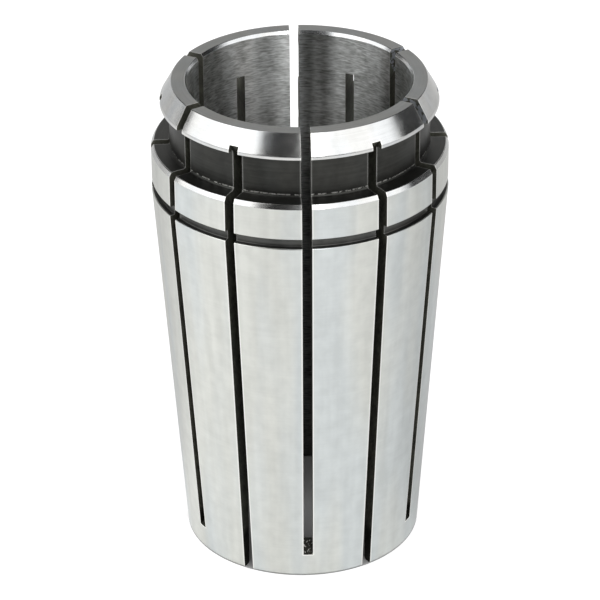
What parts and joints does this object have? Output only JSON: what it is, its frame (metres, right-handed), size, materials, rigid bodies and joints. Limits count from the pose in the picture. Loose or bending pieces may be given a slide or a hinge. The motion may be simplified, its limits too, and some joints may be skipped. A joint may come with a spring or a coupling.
{
  "type": "coolant collet",
  "caption": "One-piece slotted spring collet: round bore, shallow tapered body, band, necked head and conical nose, sawn from both ends.",
  "frame": {"origin": "centre of the small end face, on the bore's axis, at the lowest point", "axes": "+Z along the bore's axis, from the small end to the nose; -Y faces the first kerf that is open at the nose"},
  "size_m": [0.0354, 0.0354, 0.0603],
  "materials": {
    "collet_steel": "ground bright on the taper, band and nose cone, blackened in the neck, groove and kerfs"
  },
  "bodies": {
    "root": {"collet": "collet_steel"}
  },
  "joints": []
}
